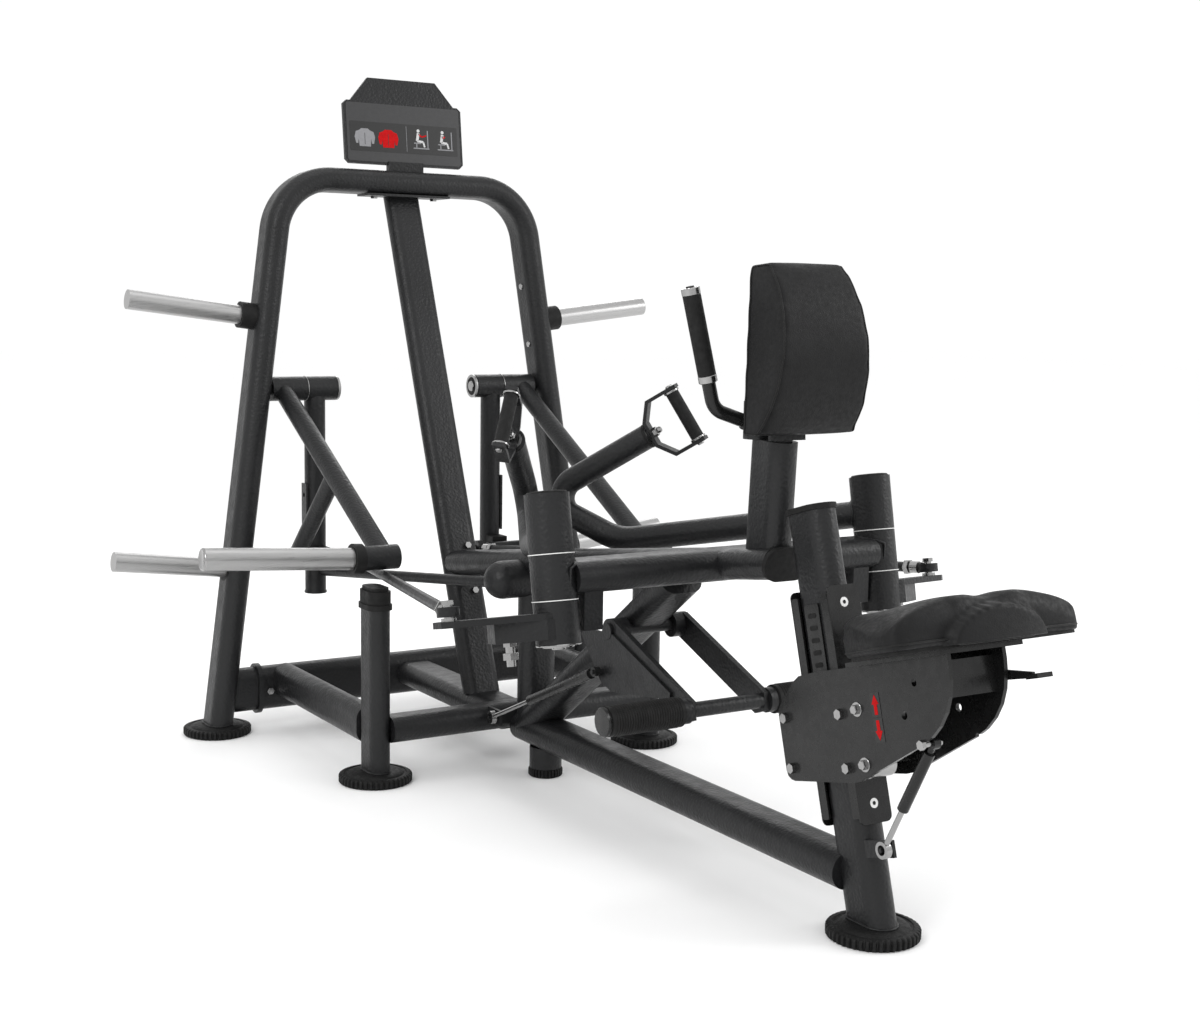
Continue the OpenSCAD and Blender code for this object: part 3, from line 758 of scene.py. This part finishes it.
# half its outline: across, rearward
half_pts = [(0.0, 0.097), (0.036, 0.101), (0.066, 0.114), (0.092, 0.138), (0.118, 0.170),
            (0.150, 0.214), (0.178, 0.262), (0.200, 0.312), (0.210, 0.350), (0.211, 0.380),
            (0.204, 0.402), (0.188, 0.411), (0.160, 0.414), (0.120, 0.415), (0.080, 0.416),
            (0.040, 0.4165), (0.0, 0.4165)]
ring = half_pts + [(-x, r) for x, r in half_pts[-2:0:-1]]


def shrink(pts, d):
    """An outline that runs anticlockwise, moved inward by d."""
    out = []
    n = len(pts)
    for i in range(n):
        a, b = Vector(pts[i - 1]), Vector(pts[(i + 1) % n])
        t = (b - a).normalized()
        out.append((pts[i][0] - d * t.y, pts[i][1] + d * t.x))
    return out


inner = shrink(ring, 0.006)


def top_shape(x, r):
    """Height of the pad's top above its base: two round wings, a dip between them, a low nose."""
    back = max(0.0, min(1.0, (r - 0.12) / 0.20))
    q = min(1.0, abs(x) / SEAT_HALF)
    h = 0.018 + 0.064 * max(0.0, 1 - q ** 2.15) ** 0.5
    h -= 0.007 * math.exp(-(x / 0.035) ** 2) * (0.4 + 0.6 * back)
    h -= (1 - back) * 0.008
    h -= 0.008 * math.exp(-((r - 0.27) / 0.07) ** 2) * math.exp(-(x / 0.10) ** 2)
    nose = max(0.0, (0.165 - r) / 0.07)
    return max(0.02, h - 0.014 * nose ** 2)


bm = bmesh.new()
lo_ring = [bm.verts.new((x, r, BASE_Z)) for x, r in inner]
hi_ring = [bm.verts.new((x, r, BASE_Z + COVER_H)) for x, r in inner]
bm.faces.new(lo_ring[::-1])
bm.faces.new(hi_ring)
for i in range(len(inner)):
    j = (i + 1) % len(inner)
    bm.faces.new((lo_ring[i], lo_ring[j], hi_ring[j], hi_ring[i]))
seat = remeshed(bm, "seat_cushion", VOXEL, 6)
for v in seat.data.vertices:
    k = max(0.0, (v.co.z - BASE_Z) / COVER_H)
    v.co.z = BASE_Z + k * (top_shape(v.co.x, v.co.y) - BASE_Z)
seat.data.update()
inflate(seat, lambda c: 1.0 if c.z < 0.016 else 0.35 if c.z < 0.03 else 0.0, 3.0, 0.0045)
calm(seat, 14)
for v in seat.data.vertices:
    c = v.co
    if c.z > 0.05:
        c.z += 0.0009 * math.sin(c.x * 33 + 0.4) * math.sin(c.y * 29 + 1.1)
    # the half-round panel stands out from the back
    u = 1 - (c.x / PANEL_HALF) ** 2
    q = u - (max(0.0, c.z) / PANEL_H) ** 2
    w = max(0.0, min(1.0, (c.y - 0.380) / 0.012)) * max(0.0, min(1.0, q / 0.08))
    w *= w * (3 - 2 * w)
    c.y += w * max(0.0, PANEL_R + 0.015 * math.sqrt(max(0.0, u)) - c.y)
    c.z = min(c.z, SEAT_T)
subdivide(seat)
SEAT_M = POST_M @ Matrix.Translation((0, 0, SEAT_S))
edge = loop_points([Vector((x, r, 0.014)) for x, r in shrink(ring, 0.0035)])
seam = [SEAT_M @ p for p in on_surface(seat, edge, 0.0003)]
seat.data.transform(SEAT_M)
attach(seat, "seat")
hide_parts("seat_pad")

# piping round the bottom edge of the seat
bm = bmesh.new()
tube(bm, seam, PIPING_R, 10, closed=True)
done("seat_piping", bm, PIPING, "seat", "vinyl", angle=60)
# the board under the seat
bm = bmesh.new()
prism(bm, SEAT_M, shrink(ring, 0.014), 0.010)
done("seat_board", bm, RUBBER, "seat", "vinyl", angle=30)

# ---------------------------------------------------------------- carriage labels and bolts
def arrow(cx, cy, w, h, up):
    k = 1 if up else -1
    pts = [(-0.22 * w, -0.5 * h), (0.22 * w, -0.5 * h), (0.22 * w, 0.02 * h), (0.5 * w, 0.02 * h),
           (0, 0.5 * h), (-0.5 * w, 0.02 * h), (-0.22 * w, 0.02 * h)]
    return [(cx + x, cy + y * k) for x, y in pts][::k]


bm = bmesh.new()
M = on_post_side(-0.0642)
LABEL_R = 0.172
for cy, up in ((0.4025, True), (0.3595, False)):
    prism(bm, M, round_rect(0.024, 0.041, 0.001, cx=LABEL_R, cy=cy), 0.0005)
    prism(bm, M @ Matrix.Translation((0, 0, 0.0004)), arrow(LABEL_R, cy, 0.018, 0.034, up), 0.0005, 1)
done("height_label", bm, [PANEL_DARK, RED], "seat", "gloss_black", smooth=False)

# the guide block bolts beside the roller axles
bm = bmesh.new()
for s in (-1, 1):
    for h in (0.398, 0.304):
        bolt(bm, on_post(s * 0.0640, 0.122, h), (s, 0, 0))
done("carriage_bolts", bm, BRIGHT, "seat", "bright_steel", angle=30)

# black guide plates before and behind the post, folded back at their edges
bm = bmesh.new()
wlo, whi = 0.197, 0.617
for k in (-1, 1):
    M = Matrix.Translation(on_post(0, 0.0500 * k, 0)) @ axes(X, UP, BACK * k)
    prism(bm, M, round_rect(0.072, whi - wlo, 0.012, cy=(wlo + whi) / 2), 0.0030)
    for s in (-1, 1):
        M = Matrix.Translation(on_post(s * 0.0318, 0, 0)) @ axes(BACK * k, UP, s * X)
        prism(bm, M, round_rect(0.0180, whi - wlo - 0.024, 0.004, cx=0.0415, cy=(wlo + whi) / 2),
              0.0040)
    for c0 in (0.586, 0.232):
        at = on_post(0, 0.0531 * k, c0)
        lathe(bm, at, BACK * k, [(0, 0), (0.0088, 0), (0.0088, 0.0002), (0.0078, 0.0004),
                                 (0, 0.0004)], 40, 1)
        lathe(bm, at, BACK * k, [(0, 0), (0.0036, 0), (0.0036, 0.00041), (0, 0.00042)], 24, 2)
o = done("guide_plates", bm, [GLOSS, WHITE, RUBBER], "frame", "gloss_black", angle=30)
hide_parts("wear_plates")
# the notched height rack on the left of the post
bm = bmesh.new()
M = on_post_side(-0.0302)
prism(bm, M, round_rect(0.040, 0.150, 0.004, cy=0.515), 0.0036)
for i in range(6):
    prism(bm, M @ Matrix.Translation((0, 0, 0.0032)),
          round_rect(0.022, 0.009, 0.004, cy=0.4595 + 0.022 * i), 0.0009, 1)
done("height_rack_plate", bm, [GLOSS, RUBBER], "frame", "gloss_black", angle=30)

# ---------------------------------------------------------------- placard graphics
top_z = box("placard")[1].z
TILT = math.radians(7)
# the panel's front face: bottom edge centre and the directions across it
front_n = Vector((0, -math.cos(TILT), math.sin(TILT)))
panel_up = Vector((0, math.sin(TILT), math.cos(TILT)))
base = Vector((0, ly + 0.005, top_z - 0.2220 * math.cos(TILT) - 0.005 * math.sin(TILT)))
base += front_n * 0.0052
PM = Matrix.Translation(base) @ axes(X, panel_up, front_n)
FRONT = PM @ Matrix.Translation((0, 0, 0.0010))
INK = 0.0004            # thickness of what is printed on the panel
PANEL_Y = 0.070


def torso(cx, cy, k, mat):
    """A plain torso, one of two. The person faces the panel from -Y, so left on it is -X."""
    pts = [(-0.010, 0.026), (0.010, 0.026), (0.016, 0.021), (0.027, 0.017), (0.031, 0.002),
           (0.027, -0.016), (0.021, -0.016), (0.019, -0.002), (0.017, -0.024), (-0.017, -0.024),
           (-0.019, -0.002), (-0.021, -0.016), (-0.027, -0.016), (-0.031, 0.002), (-0.027, 0.017),
           (-0.016, 0.021)]
    prism(bm, FRONT, [(cx + x * k, cy + y * k) for x, y in pts], INK, mat)


bm = bmesh.new()
prism(bm, PM, round_rect(0.322, 0.150, 0.006, cy=0.081), 0.0006)
prism(bm, PM @ Matrix.Translation((0, 0, 0.0006)), round_rect(0.306, 0.076, 0.002, cy=PANEL_Y), INK, 1)
torso(-0.112, 0.066, 0.92, 2)
torso(-0.046, 0.066, 0.92, 3)
for x in (-0.046, -0.112):
    prism(bm, FRONT @ Matrix.Translation((0, 0, INK)),
          round_rect(0.0012, 0.030, 0.0005, cx=x, cy=0.064), 0.0003, 1)
prism(bm, FRONT, round_rect(0.0010, 0.066, 0.0004, cx=0.006, cy=PANEL_Y), 0.0003, 2)


def figure(cx, cy, k, pull):
    """A plain seated stick figure at a row machine."""
    def bar(a, b, w, mat):
        a, b = Vector(a), Vector(b)
        t = (b - a).normalized()
        nrm = Vector((-t.y, t.x)) * w / 2
        corners = (b + nrm, b - nrm, a - nrm, a + nrm)
        prism(bm, FRONT, [(cx + p.x * k, cy + p.y * k) for p in corners], INK, mat)

    prism(bm, FRONT, disc(0.0045 * k, 20, cx - 0.004 * k, cy + 0.022 * k), INK, 4)
    bar((-0.004, 0.016), (-0.008, -0.006), 0.008, 4)
    bar((-0.008, -0.006), (0.010, -0.008), 0.006, 4)
    bar((0.010, -0.008), (0.014, -0.022), 0.005, 4)
    elbow = (0.006 - pull * 0.010, 0.006)
    bar((-0.004, 0.013), elbow, 0.004, 3)
    bar(elbow, (0.020 - pull * 0.016, 0.010), 0.004, 3)
    bar((-0.018, -0.012), (0.004, -0.012), 0.003, 2)
    bar((-0.010, -0.012), (-0.010, -0.026), 0.003, 2)
    bar((0.024, -0.026), (0.024, 0.024), 0.003, 2)
    bar((-0.020, -0.026), (0.028, -0.026), 0.003, 2)


figure(0.044, 0.072, 0.95, 0)
figure(0.114, 0.072, 0.95, 1)
done("panel_graphics", bm, [PANEL, PANEL_DARK, LIGHT_GREY, RED, PALE], "frame", "frame_paint",
     smooth=False)

# ---------------------------------------------------------------- swivel handles
for side, s in SIDES:
    p, e = jpos(side + "_handle_swivel"), upward(side + "_handle_swivel")
    bm = bmesh.new()
    # eye bolt boss, hex and neck between the arm and the handle
    lathe(bm, p, e, [(0.0085, -0.0008), (0.0215, -0.0008), (0.0215, 0.0006), (0.0085, 0.0006)],
          48, ring=True)
    done(side + "_swivel_washer", bm, ZINC, side + "_arm", "bright_steel")
    bm = bmesh.new()
    bolt(bm, p + e * 0.0112, e, 0.022, 0.012, washer=0)
    lathe(bm, p + e * 0.0230, e, [(0, 0), (0.0062, 0), (0.0075, 0.002), (0.0075, 0.006),
                                  (0.005, 0.009), (0, 0.0098)], 32)
    done(side + "_swivel_nut", bm, BRIGHT, side + "_handle", "bright_steel", angle=30)
    # the rolled lip of the arm's open end
    bm = bmesh.new()
    lathe(bm, p, e, ring_profile(0.0262, 0.0288, -0.0060, -0.0002, 0.0009), 64, ring=True)
    done(side + "_arm_end_lip", bm, RUBBER, side + "_arm", "black_rubber")
    # chrome end collars of the grip, which lies along g
    g = Vector((s * -0.431, 0.384, 0.817))
    g = (g - g.dot(e) * e).normalized()
    c = p + e * 0.096
    bm = bmesh.new()
    for k in (-1, 1):
        at = c + g * (k * 0.0712)
        lathe(bm, at, g * k, [(0, 0), (0.0085, 0), (0.0085, 0.0016), (0.0065, 0.0040), (0, 0.0046)], 32)
        lathe(bm, c + g * (k * 0.0585), g * k,
              ring_profile(0.0155, 0.0182, -0.0012, 0.0032, 0.0008), 48, ring=True)
    done(side + "_grip_rings", bm, BRIGHT, side + "_handle", "bright_steel")

# ---------------------------------------------------------------- chest handle collars
# the bar's top end, its bend and its root, on the right
BAR_R = 0.0130
h2 = Vector((0.166, box("chest_handles")[1].y - BAR_R, 1.124))
h1 = Vector((0.112, h2.y - 0.006, 0.904))
h0 = Vector((0.041, h2.y - 0.013, 0.880))
for side, s in SIDES:
    top = Vector((s * h2.x, h2.y, h2.z))
    ax = (top - Vector((s * h1.x, h1.y, h1.z))).normalized()
    bm = bmesh.new()
    lathe(bm, top, ax, ring_profile(0.0132, 0.0176, -0.0125, 0.0010, 0.0012), 56, ring=True)
    lathe(bm, top, ax, [(0, 0.0002), (0.0128, 0.0002), (0.0120, 0.0016), (0, 0.0022)], 40)
    lathe(bm, top - ax * 0.1625, ax,
          ring_profile(0.0132, 0.0178, -0.0130, 0.0006, 0.0012), 56, ring=True)
    done("chest_" + side + "_collars", bm, BRIGHT, "frame", "bright_steel")
    bm = bmesh.new()
    lathe(bm, top, ax, [(0, 0.0020), (0.0085, 0.0020), (0.0075, 0.0032), (0, 0.0036)], 32)
    done("chest_" + side + "_plug", bm, RUBBER, "frame", "black_rubber")


def rounded(p, q, r, rad, n=14):
    """Points of a smooth bend at corner q."""
    u, v = (q - p).normalized(), (r - q).normalized()
    phi = math.acos(max(-1, min(1, u.dot(v))))
    k = (v - v.dot(u) * u).normalized()
    start = q - u * rad * math.tan(phi / 2)
    c = start + k * rad
    turns = [phi * i / n for i in range(n + 1)]
    return [c - k * rad * math.cos(t) + u * rad * math.sin(t) for t in turns]


# the handle tube itself is painted and bent smoothly; only its collars are bright
bm = bmesh.new()
for s in (-1, 1):
    a, b, c = (Vector((s * v.x, v.y, v.z)) for v in (h0, h1, h2))
    arc = rounded(a, b, c, 0.036)
    d = (b - a).normalized()
    pts = [a - d * 0.004, a.lerp(arc[0], 0.5)] + arc + [arc[-1].lerp(c, 0.5), c]
    tube(bm, pts, 0.0129, 28)
    lathe(bm, a + d * 0.004, d, [(0.0125, 0), (0.0165, 0.0004), (0.0160, 0.003), (0.0130, 0.0052)],
          40, ring=True)
o = done("chest_handle_bars", bm, GLOSS, "frame", "gloss_black", angle=40)
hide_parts("chest_handles")


# ---------------------------------------------------------------- weld beads
def bead(bm, pts, r):
    """A wavy weld bead round a closed line of points."""
    tube(bm, pts, [r * (1 + 0.16 * math.sin(i * 2.4)) for i in range(len(pts))], 8, closed=True)


def stadium_pts(at, w, t, n=12):
    """A flat outline round a stadium section that is w long in Y and t wide in X."""
    out = []
    for k, a0 in ((1, -90), (-1, 90)):
        for i in range(n + 1):
            a = math.radians(a0 + 180 * i / n)
            out.append(Vector((t / 2 * math.sin(a), (w - t) / 2 * k + t / 2 * math.cos(a), 0)))
    return [Vector(at) + p for p in loop_points(out)]


bm = bmesh.new()
# round the tops of the feet, where the legs and posts stand
FOOT_TOP = 0.0268
for s in (-1, 1):
    bead(bm, stadium_pts((s * leg_x, leg_y, FOOT_TOP), 0.1004, 0.0606), 0.0024)
    bead(bm, stadium_pts((s * post_x, post_y, FOOT_TOP), 0.0884, 0.0504), 0.0024)
bead(bm, stadium_pts((0, flo.y + FOOT_R + 0.0036, FOOT_TOP), 0.1044, 0.0604), 0.0024)
# the row pivots' middle sleeves on the crossbar
cb = mid("crossbar")
SLEEVE_R = 0.0424
BAR_W, BAR_T = 0.0500, 0.0300       # half the crossbar's section
for side, s in SIDES:
    p = jpos(side + "_row")
    pts = []
    for i in range(72):
        t = 2 * math.pi * i / 72
        yy, zz = BAR_W * math.cos(t), BAR_T * math.sin(t)
        if abs(math.cos(t)) > 0.4:
            round_end = math.sqrt(max(0, 1 - (zz / BAR_T) ** 2))
            yy = math.copysign(BAR_W - BAR_T + BAR_T * round_end, math.cos(t))
        yy = max(-0.0405, min(0.0405, yy))
        xx = math.sqrt(max(0.0, SLEEVE_R ** 2 - yy * yy))
        pts.append(Vector((s * (abs(p.x) - xx - 0.0004), cb.y + yy, cb.z + zz)))
    bead(bm, pts, 0.0026)
done("weld_beads_frame", bm, PAINT, "frame", "frame_paint", angle=50)

# each arm's tube on its sleeve
ARM_UP = 0.1997
ARM_TUBE_R = 0.0282
ARM_SLEEVE_R = 0.0421
for side, s in SIDES:
    p, a = jpos(side + "_row"), upward(side + "_row")
    bm = bmesh.new()
    c = p + a * ARM_UP
    d = Vector((s * -0.439, 0.8797, -0.179)).normalized()
    d = (d - d.dot(a) * a).normalized()
    sd = a.cross(d)
    pts = []
    for i in range(64):
        t = 2 * math.pi * i / 64
        u, w = ARM_TUBE_R * math.cos(t), ARM_TUBE_R * math.sin(t)
        along = math.sqrt(ARM_SLEEVE_R ** 2 - u * u)
        pts.append(c + d * along + sd * u + a * w)
    bead(bm, pts, 0.0028)
    done(side + "_weld_bead_arm", bm, PAINT, side + "_arm", "frame_paint", angle=50)

# ---------------------------------------------------------------- small screws in the arch legs
bm = bmesh.new()
LEAN_IN = 0.143         # how far each leg leans in and forward, per metre up
LEAN_Y = 0.036
LEG_X0 = 0.541          # its middle at the floor, and half its thickness
LEG_HALF = 0.0305
for s in (-1, 1):
    for z in (0.978, 1.135):
        x = LEG_X0 - LEAN_IN * z - LEG_HALF
        y = leg_y - 0.001 + (z - 0.013) * LEAN_Y
        ax = Vector((-s, 0, -LEAN_IN)).normalized()
        lathe(bm, (s * x, y, z), ax, [(0, -0.001), (0.0085, -0.001), (0.0085, 0.0010), (0.0072, 0.0032),
                                      (0.0035, 0.0040), (0, 0.0040)], 32)
done("frame_screws", bm, BRIGHT, "frame", "bright_steel", angle=30)

# ---------------------------------------------------------------- link joints
EYE_R = 0.022
STUD_X = 0.185
for side, s in SIDES:
    lo, hi = box(side + "_link_rod")
    # a threaded adjuster and a lock nut near each eye
    near = jpos(side + "_link_yaw")
    far = Vector((s * STUD_X, hi.y - EYE_R, lo.z + EYE_R))
    u = (far - near).normalized()
    bm = bmesh.new()
    for at, k in ((near + u * 0.020, 1), (far - u * 0.021, -1)):
        lathe(bm, at, u * k, [(0.0080, 0.0), (0.0130, 0.002), (0.0130, 0.020), (0.0080, 0.022)],
              32, ring=True)
        hexagon(bm, Matrix.Translation(at + u * k * 0.024) @ basis(u * k),
                [(0.0162, 0.0), (0.0168, 0.001), (0.0168, 0.010), (0.0162, 0.011)])
    done(side + "_link_nuts", bm, BRIGHT, side + "_link", "bright_steel", angle=30)

# ---------------------------------------------------------------- floor, light and camera
me = D.meshes.new("floor")
me.from_pydata([(-30, -30, 0), (30, -30, 0), (30, 30, 0), (-30, 30, 0)], [], [(0, 1, 2, 3)])
floor = D.objects.new("floor", me)
scene.collection.objects.link(floor)
fm = Mat("floor_white", grey(0.985), 0.9, Specular_IOR_Level=0.1)
fm.colour(fm.noise(3, 2), [(0.3, grey(0.982)), (0.7, grey(0.988))])
me.materials.append(fm.m)

world = D.worlds.new("studio")
world.use_nodes = True
world.node_tree.nodes["Background"].inputs["Color"].default_value = (1, 1, 1, 1)
world.node_tree.nodes["Background"].inputs["Strength"].default_value = 1.02
scene.world = world
scene.view_settings.view_transform = "Standard"


def area_light(name, at, to, size, power):
    lamp = D.lights.new(name, "AREA")
    lamp.shape = "RECTANGLE"
    lamp.size, lamp.size_y = size
    lamp.energy = power
    o = D.objects.new(name, lamp)
    o.location = at
    o.rotation_euler = (Vector(to) - Vector(at)).to_track_quat("-Z", "Y").to_euler()
    scene.collection.objects.link(o)


area_light("key", (-3.4, -1.6, 3.0), (0, 0.1, 0.7), (1.0, 2.0), 50)
area_light("rim", (3.2, -2.2, 2.4), (0, -0.4, 0.6), (0.7, 2.4), 45)
area_light("top", (0, 0.3, 4.2), (0, 0, 0.5), (2.4, 2.4), 18)
area_light("back", (1.5, 3.6, 2.6), (0, 0, 0.8), (2.0, 1.6), 26)

CAMERA_AT = (-1.9144, -3.011, 1.0967)
yaw, pitch, roll = (math.radians(v) for v in (31.76, 7.17, 0.88))
ahead = Vector((math.sin(yaw) * math.cos(pitch), math.cos(yaw) * math.cos(pitch), -math.sin(pitch)))
level = Vector((math.cos(yaw), -math.sin(yaw), 0))
upright = level.cross(ahead)
cam_x = math.cos(roll) * level + math.sin(roll) * upright
cam_y = -math.sin(roll) * level + math.cos(roll) * upright
cam_data = D.cameras.new("camera")
cam_data.sensor_width = 36
cam_data.lens = 50.565
cam_data.clip_end = 60
cam = D.objects.new("camera", cam_data)
scene.collection.objects.link(cam)
cam.matrix_world = Matrix.Translation(CAMERA_AT) @ axes(cam_x, cam_y, -ahead)
scene.camera = cam
